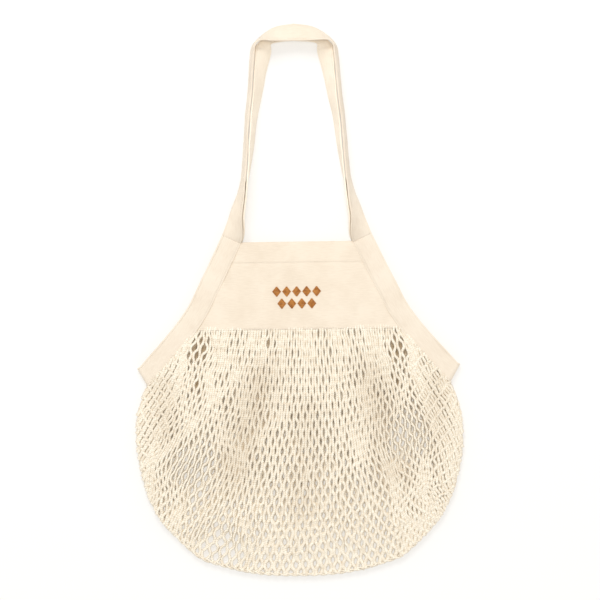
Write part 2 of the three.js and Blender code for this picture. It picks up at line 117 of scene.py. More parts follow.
# Back strap at the same places: share of the front strap's width at which it hinges, share by
# which the two part, heading and drop in degrees, and share of STRAP_WIDTH
BACK_STRAP = (
    ("hinge", "part", "heading", "drop", "width"),
    (1.0, 1.0, 180 + SHOULDER_LEAN, 0, 1.0),
    (1.0, 0.45, 205, 30, 1.0),
    (1.0, 0.3, 203, 53, 1.0),
    (1.0, 0.2, 199, 65, 1.0),
    (1.0, 0.1, 194, 76, 1.0),
    (1.0, 0.02, 189, 85, 1.0),
    (1.0, 0.0, 186, 91, 1.0),
    (1.0, 0.0, 184, 99, 1.0),
    (0.98, 0.0, 183, 104, 1.0),
    (0.93, 0.0, 183, 112, 1.0),
    (0.86, 0.0, 183, 122, 1.0),
    (0.72, 0.0, 185, 135, 1.0),
    (0.5, 0.0, 190, 152, 0.85),
    (0.32, 0.0, 196, 166, 0.68),
    (0.2, 0.0, 212, 178, 0.52),
    (0.1, 0.0, 238, 190, 0.5),
    (0.04, 0.0, 257, 200, 0.7),
    (0.0, 0.0, 270, 206, 0.88),
)
# Fold line of the net: shares of NET_DROP and of half of NET_WIDTH
NET_OUTLINE = (
    ("drop", "out"),
    (0.0, 0.935),
    (0.05, 0.96),
    (0.1, 0.98),
    (0.18, 1.0),
    (0.26, 1.0),
    (0.34, 0.997),
    (0.42, 0.982),
    (0.5, 0.96),
    (0.58, 0.932),
    (0.65, 0.895),
    (0.73, 0.836),
    (0.8, 0.758),
    (0.855, 0.692),
    (0.91, 0.609),
    (0.942, 0.5),
    (0.97, 0.38),
    (0.99, 0.25),
    (0.998, 0.12),
    (1.0, 0.0),
)
# How full the net lies from the panel down, as shares
NET_SWELL = (
    ("down", "swell"),
    (0.0, 0.0),
    (0.15, 0.45),
    (0.35, 0.9),
    (0.55, 1.0),
    (0.8, 0.8),
    (1.0, 0.2),
)
# Folds pressed into the upper layer, in shares of half the net's width and of its height
NET_FOLDS = (
    ("across", "down", "across_end", "down_end", "depth", "reach"),
    (-0.84, 0.23, -0.82, 0.42, 0.35, 0.045),
    (-0.17, 0.08, -0.41, 0.57, 0.5, 0.06),
    (0.4, 0.07, 0.58, 0.57, 0.5, 0.06),
    (0.84, 0.23, 0.82, 0.45, 0.35, 0.045),
    (0.05, 0.35, 0.02, 0.75, 0.25, 0.05),
)
# How the wales fan out below the panel: share of the height down the net, distance between
# meshes in mm, how far the fan's middle has wandered sideways in mm, and what share of that
# distance the meshes past FAN_EDGE keep
NET_FAN = (
    ("down", "pitch", "middle", "side"),
    (0.0, 6.2, 0, 1.0),
    (0.29, 7.2, -3, 0.95),
    (0.49, 8.4, -8, 0.74),
    (0.65, 9.2, -13, 0.66),
    (0.86, 10.2, -20, 0.74),
    (1.0, 11.4, -25, 0.8),
    (1.15, 12.4, -30, 0.85),
)
FAN_EDGE = 0.65
# Where the cells are drawn apart: place as shares of half the net's width and of its height,
# reach in mm, and shift in mm, which SPREAD_WAY turns more across than down
NET_SPREADS = (
    ("across", "down", "reach", "shift"),
    (-0.68, 0.56, 40, 10.0),
    (0.66, 0.46, 40, 10.0),
    (-0.5, 0.9, 26, 5.0),
    (-0.83, 0.72, 20, 3.0),
    (0.82, 0.55, 20, 3.0),
)
# Cells drawn apart in the upper layer alone, where the layer below lies close and in shade
NET_PARTINGS = (
    ("across", "down", "reach", "shift"),
    (-0.61, 0.09, 14, 5.6),
    (-0.62, 0.22, 11, 2.5),
    (0.61, 0.09, 14, 5.2),
    (0.6, 0.22, 10, 2.0),
    (-0.17, 0.055, 6, 3.0),
)
SPREAD_WAY = np.array([2.2, 0.6])
# Painted shade on the lower layer's yarn below the partings
PARTING_SHADE = 1.3

# Meshes along the panel's lower edge and along each binding, distance between rows in mm, how
# that falls row by row and towards the sides, and the rounding at the fold line in mm
PANEL_MESHES = 40
BAND_MESHES = 8
ROW_PITCH = 11.3
ROW_PITCH_LOSS = 0.035
SIDE_ROW_LOSS = 0.29
ROUNDING = 28.0


# Tables and curves

UP = np.array([0.0, 0.0, 1.0])
TINY = 1e-9
WAVE_COUNT = 7
WAVE_SPREAD = (0.7, 1.6)


def table(rows):
    """Columns of a table, by the names in its first row."""
    names = rows[0]
    values = np.array(rows[1:], float)
    return {name: values[:, index] for index, name in enumerate(names)}


def column_at(columns, name, place):
    """Smooth value of a column at places between its rows."""
    values = columns[name]
    last = len(values) - 1
    place = np.asarray(place, float)
    row = np.minimum(np.floor(place).astype(int), last - 1)
    before = values[np.maximum(row - 1, 0)]
    start = values[row]
    end = values[row + 1]
    after = values[np.minimum(row + 2, last)]
    t = place - row
    leave = (end - before) / 2
    arrive = (after - start) / 2
    bend = 2 * start - 2 * end + leave + arrive
    turn = 3 * end - 3 * start - 2 * leave - arrive
    return ((bend * t + turn) * t + leave) * t + start


def plan_direction(heading):
    """Level direction for a heading in degrees."""
    angle = np.radians(heading)
    return np.stack([np.cos(angle), np.sin(angle), np.zeros_like(angle)], -1)


def tilted_direction(inwards, angle):
    """Level direction turned upwards by an angle in degrees."""
    angle = np.radians(angle)[..., None]
    return inwards * np.cos(angle) + UP * np.sin(angle)


def unit(vectors):
    return vectors / np.maximum(np.linalg.norm(vectors, axis=-1, keepdims=True), TINY)


def mirrored(points):
    return points * np.array([-1.0, 1.0, 1.0])


def running_length(points):
    """Length of each polyline up to each of its points."""
    steps = np.linalg.norm(np.diff(points, axis=-2), axis=-1)
    start = np.zeros((*steps.shape[:-1], 1))
    return np.concatenate([start, np.cumsum(steps, axis=-1)], -1)


def along_line(points, share, values=None):
    """Points, or the values given at the points, at shares of the length of a polyline."""
    length = running_length(points)
    target = np.asarray(share) * length[-1]
    given = points if values is None else values
    return np.stack([np.interp(target, length, given[:, axis]) for axis in range(3)], -1)


def waves(points, pitch, seed):
    """Smooth wandering value between about -1 and 1 over points, with a pitch in mm."""
    local = np.random.default_rng(seed)
    total = np.zeros(points.shape[:-1])
    for _ in range(WAVE_COUNT):
        way = local.normal(size=points.shape[-1])
        length = pitch * local.uniform(*WAVE_SPREAD)
        way = way / np.linalg.norm(way) * math.tau / length
        total += np.sin(points @ way + local.uniform(0, math.tau))
    return total / math.sqrt(WAVE_COUNT)


def rolling(points, scales, seed):
    """Sum of waves over points; each scale is a pitch and a height."""
    return sum(height * waves(points, pitch, seed + index)
               for index, (pitch, height) in enumerate(scales))


def wandering(points, pitch, seed):
    """Smooth drift in two directions over points."""
    return np.stack([waves(points, pitch, seed), waves(points, pitch, seed + 1)], -1)


# The part's own lay-out, before it is moved to its place in the frame

BAND_LAST = len(BAND_ROUTE) - 2
STRAP_LAST = len(FRONT_STRAP) - 2
SEAM_STEPS = 120


def band_station(place):
    """Middle of the right binding and its direction across, at places along its table."""
    columns = table(BAND_ROUTE)
    out = column_at(columns, "out", place)
    x = SHOULDER_SPAN / 2 + out * (TIP_SPAN - SHOULDER_SPAN) / 2
    y = -column_at(columns, "drop", place) * BAND_DROP
    across = plan_direction(column_at(columns, "heading", place))
    return np.stack([x, y, np.zeros_like(x)], -1), across


def seam_line(gap):
    """Line beside the right binding's inner edge, a gap in mm away from it."""
    middle, across = band_station(np.linspace(0, BAND_LAST, SEAM_STEPS))
    return middle + across * (BAND_WIDTH / 2 + gap)


def seam_at_height(line, y):
    return np.interp(-y, -line[:, 1], line[:, 0])


shoulder_across = plan_direction(180 + SHOULDER_LEAN)
shoulder_along = plan_direction(90 + SHOULDER_LEAN)
strap_corner = (np.array([SHOULDER_SPAN / 2, 0.0, 0.0])
                - shoulder_across * STRAP_WIDTH / 2 + shoulder_along * SEAM_GAP)
tip_middle, tip_across = band_station(BAND_LAST)
tip_along = np.array([-tip_across[1], tip_across[0], 0.0])
panel_top = seam_line(SEAM_GAP)[0, 1]
panel_bottom = panel_top - PANEL_HEIGHT
fold_start = (tip_middle + tip_across * (BAND_WIDTH / 2 + SEAM_GAP)
              + tip_along * (TURN_RADIUS + TAPE_THICKNESS / 2))
net_top = panel_bottom
net_bottom = fold_start[1] - NET_DROP
_, panel_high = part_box("panel_front")
SHIFT = np.array([0.0, panel_high[1] / MM - panel_top, 0.0])


# Mesh making

TUBE_SIDES = 6
STITCH_LENGTH = 2.3
STITCH_SPACE = 0.9
STITCH_RADIUS = 0.2
STITCH_RISE = 0.11
STITCH_TAPER = (0.5, 0.9, 1.0, 1.0, 0.9, 0.5)


def add_mesh(name, points, quads, uvs, material, crease_and_painted_shade=None):
    """Object from points in mm, before SHIFT, kept above the table; uvs are per quad corner."""
    mesh = bpy.data.meshes.new(name)
    places = (points + SHIFT) * MM
    places[:, 2] = np.maximum(places[:, 2], 0)
    corners = quads.size
    mesh.vertices.add(len(places))
    mesh.vertices.foreach_set("co", places.astype(np.float32).ravel())
    mesh.loops.add(corners)
    mesh.loops.foreach_set("vertex_index", quads.astype(np.int32).ravel())
    mesh.polygons.add(len(quads))
    mesh.polygons.foreach_set("loop_start", np.arange(0, corners, 4, dtype=np.int32))
    mesh.polygons.foreach_set("loop_total", np.full(len(quads), 4, dtype=np.int32))
    mesh.polygons.foreach_set("use_smooth", np.ones(len(quads), bool))
    layer = mesh.uv_layers.new(name="UVMap")
    layer.data.foreach_set("uv", uvs.astype(np.float32).ravel())
    # Each point's share of painted shade on the yarn, where one is given
    if crease_and_painted_shade is not None:
        layer = mesh.attributes.new("crease_and_painted_shade", "FLOAT", "POINT")
        layer.data.foreach_set("value", crease_and_painted_shade.astype(np.float32).ravel())
    mesh.update(calc_edges=True)
    mesh.validate()
    mesh.materials.append(material)
    piece = bpy.data.objects.new(name, mesh)
    bpy.context.scene.collection.objects.link(piece)
    return piece


def cell_corners(grid):
    """Values at the four corners of each cell of a grid, in the order of a quad."""
    return np.stack([grid[:-1, :-1], grid[1:, :-1], grid[1:, 1:], grid[:-1, 1:]], 2)


def grid_quads(rows, columns, wrap=False):
    """Quads over a grid of points, closing each row on itself where wrap is set."""
    grid = np.arange(rows * columns).reshape(rows, columns)
    if wrap:
        grid = np.concatenate([grid, grid[:, :1]], 1)
    return cell_corners(grid).reshape(-1, 4)


def grid_uvs(u, v):
    """Corner uvs of a grid, from u at each row of points and v at each column."""
    grid = np.stack(np.broadcast_arrays(u[:, None], v), -1)
    return cell_corners(grid).reshape(-1, 2)


def tubes(paths, radii):
    """Points, quads and uvs of round tubes; paths are (tubes, points, 3) in mm."""
    count, steps, _ = paths.shape
    tangent = unit(np.gradient(paths, axis=1))
    lateral = unit(np.cross(tangent, UP))
    normal = np.cross(lateral, tangent)
    angle = np.arange(TUBE_SIDES) * math.tau / TUBE_SIDES
    ring = (lateral[:, :, None] * np.cos(angle)[:, None]
            + normal[:, :, None] * np.sin(angle)[:, None])
    points = paths[:, :, None] + ring * radii[:, :, None, None]
    quads = grid_quads(steps, TUBE_SIDES, wrap=True)
    offsets = np.arange(count)[:, None, None] * steps * TUBE_SIDES
    every_quad = (quads + offsets).reshape(-1, 4)
    around = np.arange(TUBE_SIDES + 1) / TUBE_SIDES
    uvs = np.concatenate([grid_uvs(length * MM, around) for length in running_length(paths)])
    return points.reshape(-1, 3), every_quad, uvs


def stitches(points, up):
    """Separate running stitches along a line of points; up is the cloth's outward side."""
    total = running_length(points)[-1]
    count = max(int(total / (STITCH_LENGTH + STITCH_SPACE)), 1)
    steps = len(STITCH_TAPER)
    place = (np.arange(count) + 0.5) / count
    half = STITCH_LENGTH / total / 2
    shares = np.clip(place[:, None] + np.linspace(-half, half, steps), 0, 1)
    path = along_line(points, shares.ravel()).reshape(count, steps, 3)
    outwards = along_line(points, place, up)[:, None]
    bow = np.sin(np.linspace(0, math.pi, steps))[None, :, None]
    path = path + outwards * (STITCH_RISE * bow - STITCH_RADIUS * (1 - bow))
    radii = np.broadcast_to(np.array(STITCH_TAPER) * STITCH_RADIUS, (count, steps))
    return tubes(path, radii)


def joined(parts):
    """One set of points, quads and uvs from several."""
    points, quads, uvs = zip(*parts)
    offsets = np.cumsum([0] + [len(part) for part in points[:-1]])
    moved = [part + offset for part, offset in zip(quads, offsets)]
    return np.concatenate(points), np.concatenate(moved), np.concatenate(uvs)


# Materials

SPECULAR = 0.25
CLOTH_ROUGHNESS = 0.92
CLOTH_SHEEN = 0.15
CLOTH_STOPS = (0.38, 0.6)
THREAD_PITCH = 0.75
SLUB_STRETCH = (0.12, 1, 1)
SLUB_NOISE = {"Scale": 900, "Detail": 2}
DRIFT_NOISE = {"Scale": 28, "Detail": 4}
DRIFT_SHARE = 0.6
WEAVE_BUMP = {"Strength": 0.35, "Distance": 0.0003}
SLUB_BUMP = {"Strength": 0.25, "Distance": 0.0004}

YARN_SHEEN = 0.1
YARN_ROUGHNESS = 0.9
FLOSS_ROUGHNESS = 0.6
YARN_STOPS = (0.3, 0.62)
YARN_PLIES = 2
YARN_TWIST = 2.6
THREAD_TWIST = 0.9
FLOSS_TWIST = 1.1
FUZZ_NOISE = {"Scale": 260, "Detail": 3}
PLY_BUMP = {"Strength": 0.6, "Distance": 0.0003}
# Largest share of painted shade that the yarn's colour takes
PAINTED_SHADE_MOST = 0.6
# What the painted shade in folds and on the lower layer leaves of the yarn's darker colour
SHADE_KEPT = (0.66, 0.58, 0.47)

# Darker and lighter colour of each cloth and yarn; the back strap's cloth is lighter, because
# it lies in the shade of the front strap
CANVAS_COLOURS = ((0.755, 0.645, 0.51), (0.82, 0.715, 0.58))
TAPE_COLOURS = ((0.76, 0.652, 0.522), (0.82, 0.722, 0.592))
SHADED_TAPE_COLOURS = ((0.87, 0.765, 0.625), (0.94, 0.845, 0.705))
YARN_COLOURS = ((0.80, 0.695, 0.545), (0.91, 0.835, 0.70))
THREAD_COLOURS = ((0.78, 0.68, 0.55), (0.86, 0.77, 0.64))
FLOSS_COLOURS = ((0.38, 0.13, 0.022), (0.60, 0.25, 0.055))


def new_material(name, base, roughness, sheen=0.0):
    """Material with its node tree and its shader."""
    material = bpy.data.materials.new(name)
    material.use_nodes = True
    shader = material.node_tree.nodes["Principled BSDF"]
    shader.inputs["Base Color"].default_value = (*base, 1)
    shader.inputs["Roughness"].default_value = roughness
    shader.inputs["Specular IOR Level"].default_value = SPECULAR
    shader.inputs["Sheen Weight"].default_value = sheen
    return material, material.node_tree, shader


def add_node(tree, kind, inputs, **settings):
    """Node of a kind; its inputs are given by name or number, as values or as sockets."""
    node = tree.nodes.new("ShaderNode" + kind)
    for setting, value in settings.items():
        setattr(node, setting, value)
    for socket, value in inputs.items():
        if isinstance(value, bpy.types.NodeSocket):
            tree.links.new(value, node.inputs[socket])
        else:
            node.inputs[socket].default_value = value
    return node


def math_node(tree, operation, *values):
    return add_node(tree, "Math", dict(enumerate(values)), operation=operation).outputs[0]


def noise_node(tree, vector, noise):
    return add_node(tree, "TexNoise", {"Vector": vector, **noise}).outputs["Fac"]


def bump_node(tree, inputs):
    return add_node(tree, "Bump", inputs).outputs["Normal"]


def uv_nodes(tree):
    """The uv socket and its parts along and across."""
    uv = add_node(tree, "UVMap", {}).outputs["UV"]
    parts = add_node(tree, "SeparateXYZ", {0: uv}).outputs
    return uv, parts["X"], parts["Y"]


def ramp_between(tree, source, dark, light, stops):
    ramp = add_node(tree, "ValToRGB", {"Fac": source})
    for element, stop, colour in zip(ramp.color_ramp.elements, stops, (dark, light)):
        element.position = stop
        element.color = (*colour, 1)
    return ramp.outputs["Color"]


def weave_material(name, dark, light):
    """Plain-woven cotton on uvs in metres: crossed threads, slubs and soft colour drift."""
    material, tree, shader = new_material(name, light, CLOTH_ROUGHNESS, CLOTH_SHEEN)
    uv, along, across = uv_nodes(tree)
    threads = []
    for part in (along, across):
        angle = math_node(tree, "MULTIPLY", part, math.pi / (THREAD_PITCH * MM))
        threads.append(math_node(tree, "ABSOLUTE", math_node(tree, "SINE", angle)))
    weave = math_node(tree, "MULTIPLY", *threads)
    stretched = add_node(tree, "Mapping", {"Vector": uv, "Scale": SLUB_STRETCH})
    slub = noise_node(tree, stretched.outputs["Vector"], SLUB_NOISE)
    drift = noise_node(tree, uv, DRIFT_NOISE)
    mixed = math_node(tree, "ADD", math_node(tree, "MULTIPLY", drift, DRIFT_SHARE),
                      math_node(tree, "MULTIPLY", slub, 1 - DRIFT_SHARE))
    colour = ramp_between(tree, mixed, dark, light, CLOTH_STOPS)
    threads_relief = bump_node(tree, {"Height": weave, **WEAVE_BUMP})
    relief = bump_node(tree, {"Height": slub, "Normal": threads_relief, **SLUB_BUMP})
    tree.links.new(colour, shader.inputs["Base Color"])
    tree.links.new(relief, shader.inputs["Normal"])
    return material


def yarn_material(name, dark, light, twist, roughness=YARN_ROUGHNESS):
    """Twisted yarn on uvs: metres along the strand, one turn around it."""
    material, tree, shader = new_material(name, light, roughness, YARN_SHEEN)
    _, along, around = uv_nodes(tree)
    travel = math_node(tree, "MULTIPLY", along, math.tau / (twist * MM))
    ply = math_node(tree, "SINE", math_node(
        tree, "MULTIPLY_ADD", around, YARN_PLIES * math.tau, travel))
    place = add_node(tree, "NewGeometry", {}).outputs["Position"]
    fuzz = noise_node(tree, place, FUZZ_NOISE)
    colour = ramp_between(tree, fuzz, dark, light, YARN_STOPS)
    # Painted shade: the share that each point of the mesh holds mixes the yarn towards a darker,
    # shaded colour
    crease_and_painted_shade = add_node(tree, "Attribute", {}, attribute_name="crease_and_painted_shade").outputs["Fac"]
    painted_shade_share = math_node(tree, "MULTIPLY", crease_and_painted_shade, PAINTED_SHADE_MOST)
    painted_shade_colour = (*(part * kept for part, kept in zip(dark, SHADE_KEPT)), 1)
    # A colour mix takes its share in input 0 and its colours in inputs 6 and 7
    shaded_yarn_colour = add_node(tree, "Mix", {0: painted_shade_share, 6: colour, 7: painted_shade_colour}, data_type="RGBA").outputs[2]
    relief = bump_node(tree, {"Height": ply, **PLY_BUMP})
    tree.links.new(shaded_yarn_colour, shader.inputs["Base Color"])
    tree.links.new(relief, shader.inputs["Normal"])
    return material


canvas = weave_material("cotton_canvas", *CANVAS_COLOURS)
tape = weave_material("canvas_tape", *TAPE_COLOURS)
shaded_tape = weave_material("shaded_canvas_tape", *SHADED_TAPE_COLOURS)
yarn = yarn_material("net_yarn", *YARN_COLOURS, YARN_TWIST)
thread = yarn_material("sewing_thread", *THREAD_COLOURS, THREAD_TWIST)
floss = yarn_material("ochre_floss", *FLOSS_COLOURS, FLOSS_TWIST, FLOSS_ROUGHNESS)


# Ribbons of folded canvas tape

STITCH_PLACE = 0.41
STITCH_DIP = 0.72
# Upper face of the tape from its middle to its edge, as shares of its width and of half its
# thickness; it dips at the seam
TAPE_PROFILE = (
    (0.0, 0.95), (0.2, 0.97), (0.36, 1.0), (0.395, 0.93), (STITCH_PLACE, STITCH_DIP),
    (0.425, 0.93), (0.45, 1.0), (0.485, 0.9), (0.497, 0.55),
)
TAPE_FILL = 0.92
# Pitch in mm and share of the crease's height
TAPE_CREASES = ((38.0, 1.0), (11.0, 0.35))
BAND_CREASE = 0.21
STRAP_CREASE = 0.18
CALM_END = 12.0
BAND_STEPS = 90
BAND_SEED = 20
TURN_STEPS = 15
STEPS_PER_ROW = 10


def tape_caps(steps, around):
    """Quads that close both ends of a tape, between its upper and its lower face."""
    start = np.array([(step, step + 1, around - step - 1, around - step)
                      for step in range(1, around // 2 - 1)])
    return np.concatenate([start, start[:, ::-1] + (steps - 1) * around])


def ribbon(name, middles, across, thick, width, cloth, crease_and_painted_shade, seed):
    """Tape swept along its middle line, with slight creases; also its length in metres."""
    right = np.array(TAPE_PROFILE)
    upper = np.concatenate([[(-0.5, 0.0)], right[:0:-1] * (-1, 1), right])
    profile = np.concatenate([upper, -upper])
    length = running_length(middles)
    spread = profile[:, 0] * width[:, None]
    flat = np.stack([np.broadcast_to(length[:, None], spread.shape), spread], -1)
    calm = np.minimum(np.minimum(length, length[-1] - length) / CALM_END, 1.0)[:, None]
    height = (profile[:, 1] * TAPE_THICKNESS / 2 * TAPE_FILL
              + rolling(flat, TAPE_CREASES, seed) * crease_and_painted_shade * calm)
    points = (middles[:, None] + across[:, None] * spread[..., None]
              + thick[:, None] * height[..., None])
    quads = grid_quads(len(middles), len(profile), wrap=True)
    girth = np.append(profile[:, 0], profile[0, 0]) * width.mean()
    uvs = grid_uvs(length * MM, girth * MM)
    caps = tape_caps(len(middles), len(profile))
    piece = add_mesh(name, points.reshape(-1, 3), np.concatenate([quads, caps]),
                     np.concatenate([uvs, np.zeros((caps.size, 2))]), cloth)
    return piece, length[-1] * MM


def ribbon_stitches(middles, across, thick, width):
    """Both edge seams on the face of a tape that thick points out of."""
    parts = []
    for edge in (-STITCH_PLACE, STITCH_PLACE):
        line = (middles + across * (edge * width)[:, None]
                + thick * TAPE_THICKNESS / 2 * STITCH_DIP)
        parts.append(stitches(line, thick))
    return parts


def band(name, side):
    """Binding from the front shoulder round the side fold to the back shoulder."""
    straight, across = band_station(np.linspace(0, BAND_LAST, BAND_STEPS))
    turn = np.linspace(0, math.pi, TURN_STEPS)[1:-1]
    bend = (tip_middle + tip_along * (TURN_RADIUS * np.sin(turn))[:, None]
            + UP * (MIDDLE_LEVEL + TURN_RADIUS * np.cos(turn))[:, None])
    middles = np.concatenate([
        straight + UP * FRONT_LEVEL, bend, straight[::-1] + UP * BACK_LEVEL])
    spread = np.concatenate([across, np.repeat(tip_across[None], len(turn), 0), across[::-1]])
    thick = np.concatenate([
        np.repeat(UP[None], BAND_STEPS, 0),
        tip_along * np.sin(turn)[:, None] + UP * np.cos(turn)[:, None],
        np.repeat(-UP[None], BAND_STEPS, 0)])
    if side < 0:
        middles, spread, thick = (mirrored(values) for values in (middles, spread, thick))
    width = np.full(len(middles), BAND_WIDTH)
    piece, length = ribbon(name, middles, spread, thick, width, tape, BAND_CREASE, BAND_SEED + side)
    return piece, ribbon_stitches(middles, spread, thick, width), length


def strap_sections(place):
    """Edge, direction across, and width of both straps at places along the right half."""
    front = table(FRONT_STRAP)
    back = table(BACK_STRAP)
    inwards = plan_direction(column_at(front, "heading", place))
    lean = column_at(front, "lean", place)
    edge = np.stack([
        strap_corner[0] * column_at(front, "out", place),
        strap_corner[1] + STRAP_RISE * column_at(front, "rise", place),
        FRONT_LEVEL * column_at(front, "lift", place)], -1)
    across = tilted_direction(inwards, lean)
    width = np.full(len(place), STRAP_WIDTH)
    touch = TAPE_THICKNESS + SEAM_GAP
    apart = touch + (FRONT_LEVEL - BACK_LEVEL - touch) * column_at(back, "part", place)
    hinge = (edge + across * (STRAP_WIDTH * column_at(back, "hinge", place))[:, None]
             + tilted_direction(inwards, lean - 90) * apart[:, None])
    drop = column_at(back, "drop", place)
    back_width = STRAP_WIDTH * column_at(back, "width", place)
    back_across = tilted_direction(plan_direction(column_at(back, "heading", place)), drop)
    back_edge = hinge - back_across * back_width[:, None]
    lowest = TABLE_GAP + TAPE_THICKNESS / 2 * np.abs(np.cos(np.radians(drop)))
    back_edge[:, 2] = np.maximum(back_edge[:, 2], lowest)
    return (edge, across, width), (back_edge, back_across, back_width)


def strap(name, section, cloth, seed):
    """Whole strap from the sections of its right half, with the seams on both faces."""
    edge, across, width = section
    edge = np.concatenate([edge, mirrored(edge[-2::-1])])
    across = np.concatenate([across, mirrored(across[-2::-1])])
    width = np.concatenate([width, width[-2::-1]])
    middles = edge + across * (width / 2)[:, None]
    thick = unit(np.cross(np.gradient(middles, axis=0), across))
    piece, length = ribbon(name, middles, across, thick, width, cloth, STRAP_CREASE, seed)
    parts = ribbon_stitches(middles, across, thick, width)
    parts += ribbon_stitches(middles, across, -thick, width)
    return piece, parts, length


# Canvas panels

PANEL_TUCK = 1.6
PANEL_RISE = 1.8
PANEL_DROP = 1.6
FULL_HEIGHT = PANEL_HEIGHT + PANEL_RISE + PANEL_DROP
PANEL_COLUMNS = 140
HEM_ROWS = 22
PANEL_ROWS = 60
HEM_EDGE = 0.8
BELOW_HEM = 3.0
# Pitch and height in mm
PANEL_CREASES = ((70.0, 0.5), (21.0, 0.16))
CALM_MARGIN = 6.0
SIDE_MARGIN = 4.0
SIDE_SINK = 0.9
PANEL_SINK = 0.55
HEM_GROOVE = 0.35
HEM_GROOVE_REACH = 0.9
TOP_ROUNDING = 0.25
TOP_ROUNDING_REACH = 1.6
CANVAS_FILL = 0.8
TABLE_TOUCH = 0.02
HEM_SEAM = 1.8
LOW_SEAM = 2.0
SEAM_END = 1.0
SEAM_POINTS = 60

panel_side = seam_line(-PANEL_TUCK)
panel_edge = panel_top + PANEL_RISE


def panel_surface(outer_level, away, seed):
    """Distance of each row below the top edge, and x, y and z over a panel's outer face."""
    rows = np.concatenate([
        np.linspace(0, HEM_HEIGHT - HEM_EDGE, HEM_ROWS), [HEM_HEIGHT, HEM_HEIGHT + HEM_EDGE],
        np.linspace(HEM_HEIGHT + BELOW_HEM, FULL_HEIGHT, PANEL_ROWS)])
    half = seam_at_height(panel_side, panel_edge - rows)[:, None]
    x = half * np.linspace(1, -1, PANEL_COLUMNS)
    y = np.broadcast_to((panel_edge - rows)[:, None], x.shape)
    side = np.minimum(half - np.abs(x), SIDE_MARGIN) / SIDE_MARGIN
    ends = np.minimum(np.minimum(rows, FULL_HEIGHT - rows) / CALM_MARGIN, 1.0)
    groove = HEM_GROOVE * np.exp(-((rows - HEM_HEIGHT) / HEM_GROOVE_REACH) ** 2)
    rounding = TOP_ROUNDING * np.exp(-(rows / TOP_ROUNDING_REACH) ** 2)
    sink = (PANEL_SINK + groove + rounding)[:, None] + (1 - side) * SIDE_SINK
    swell = rolling(np.stack([x, y], -1), PANEL_CREASES, seed) * ends[:, None]
    outer = np.maximum(outer_level + away * (swell - sink), TABLE_TOUCH)
    return rows, x, y, outer


def panel_seams(rows, x, outer, away):
    """Running stitches along the hem and along the lower edge."""
    seams = []
    for distance in (HEM_HEIGHT - HEM_SEAM, FULL_HEIGHT - LOW_SEAM):
        y = panel_edge - distance
        reach = seam_at_height(panel_side, y) - SEAM_END
        row = np.argmin(np.abs(rows - distance))
        across = np.linspace(-reach, reach, SEAM_POINTS)
        level = np.interp(across, x[row][::-1], outer[row][::-1])
        points = np.stack([across, np.full(SEAM_POINTS, y), level], -1)
        seams.append(stitches(points, np.repeat(away * UP[None], SEAM_POINTS, 0)))
    return seams


def panel(name, outer_level, inwards, seed):
    """Panel with a turned hem along its top; its sides run on under the binding."""
    heights, x, y, outer = panel_surface(outer_level, -inwards, seed)
    layers = np.where(heights <= HEM_HEIGHT, 2, 1)[:, None]
    inner = outer + inwards * layers * CANVAS_THICKNESS * CANVAS_FILL
    rows, columns = x.shape
    face = rows * columns
    front = grid_quads(rows, columns)
    grid = np.arange(face).reshape(rows, columns)
    border = np.concatenate([grid[0], grid[1:, -1], grid[-1, -2::-1], grid[-2:0:-1, 0]])
    ahead = np.roll(border, -1)
    rim = np.stack([border, ahead, ahead + face, border + face], -1)
    quads = np.concatenate([front, front[:, ::-1] + face, rim])
    if inwards > 0:
        quads = quads[:, ::-1]
    points = np.concatenate([
        np.stack([x, y, level], -1).reshape(-1, 3) for level in (outer, inner)])
    uvs = points[quads.ravel()][:, :2] * MM
    piece = add_mesh(name, points, quads, uvs, canvas)
    return piece, panel_seams(heights, x, outer, -inwards), (x, y, outer)


# Outline of the net and places on it

OUTLINE_STEPS = 240
OUTLINE_SAMPLES = 360
TIP_REACH = 0.2
POINTS_AT_ONCE = 4000


def net_outline():
    """Fold line of the net from the right tip to the middle of the bottom."""
    columns = table(NET_OUTLINE)
    place = np.linspace(0, len(NET_OUTLINE) - 2, OUTLINE_STEPS)
    drop = column_at(columns, "drop", place)
    out = column_at(columns, "out", place)
    offset = fold_start[0] - columns["out"][0] * NET_WIDTH / 2
    x = out * NET_WIDTH / 2 + offset * np.maximum(0, 1 - drop / TIP_REACH)
    return np.stack([x, fold_start[1] - drop * NET_DROP, np.zeros_like(x)], -1)


OUTLINE = net_outline()


def depth_inside(plan):
    """Distance from the net's fold line in mm, below zero outside it."""
    right = along_line(OUTLINE, np.linspace(0, 1, OUTLINE_SAMPLES))[:, :2]
    folded = np.stack([np.abs(plan[..., 0]), plan[..., 1]], -1).reshape(-1, 2)
    away = np.empty(len(folded))
    for begin in range(0, len(folded), POINTS_AT_ONCE):
        some = slice(begin, begin + POINTS_AT_ONCE)
        away[some] = np.sqrt(((folded[some][:, None] - right[None]) ** 2).sum(-1).min(1))
    half = np.interp(-folded[:, 1], -OUTLINE[:, 1], OUTLINE[:, 0], right=-1.0)
    inside = (folded[:, 1] > fold_start[1]) | (folded[:, 0] < half)
    return np.where(inside, away, -away).reshape(plan.shape[:-1])


def share_down(y):
    """Share of the net's height from its top down to y."""
    return (net_top - y) / (net_top - net_bottom)


def net_places(across, down):
    """Places on the net from shares of half its width and of its height."""
    return np.stack([across * NET_WIDTH / 2, net_top - down * (net_top - net_bottom)], -1)


def nearness(plan, columns, reach_share=1.0):
    """For each spot of a table, the way from it in reaches, and nearness to it from 0 to 1."""
    for centre, reach in zip(net_places(columns["across"], columns["down"]), columns["reach"]):
        away = (plan - centre) / (reach * reach_share)
        yield away, np.exp(-(away ** 2).sum(-1))


def drawn_apart(plan, rows):
    """Shift of the junctions around each place where the cells are drawn apart."""
    spreads = table(rows)
    shift = np.zeros_like(plan)
    for (away, near), amount in zip(nearness(plan, spreads), spreads["shift"]):
        shift += away * near[..., None] * amount * SPREAD_WAY
    return shift


# Plan of the net's junctions, by row and by gap between strands

NET_TUCK = 3.0
FAN_HOLD = 4
RIM_INSET = 6.0
RIM_INSET_ROW = 2
SIDE_LIMIT = 1.1


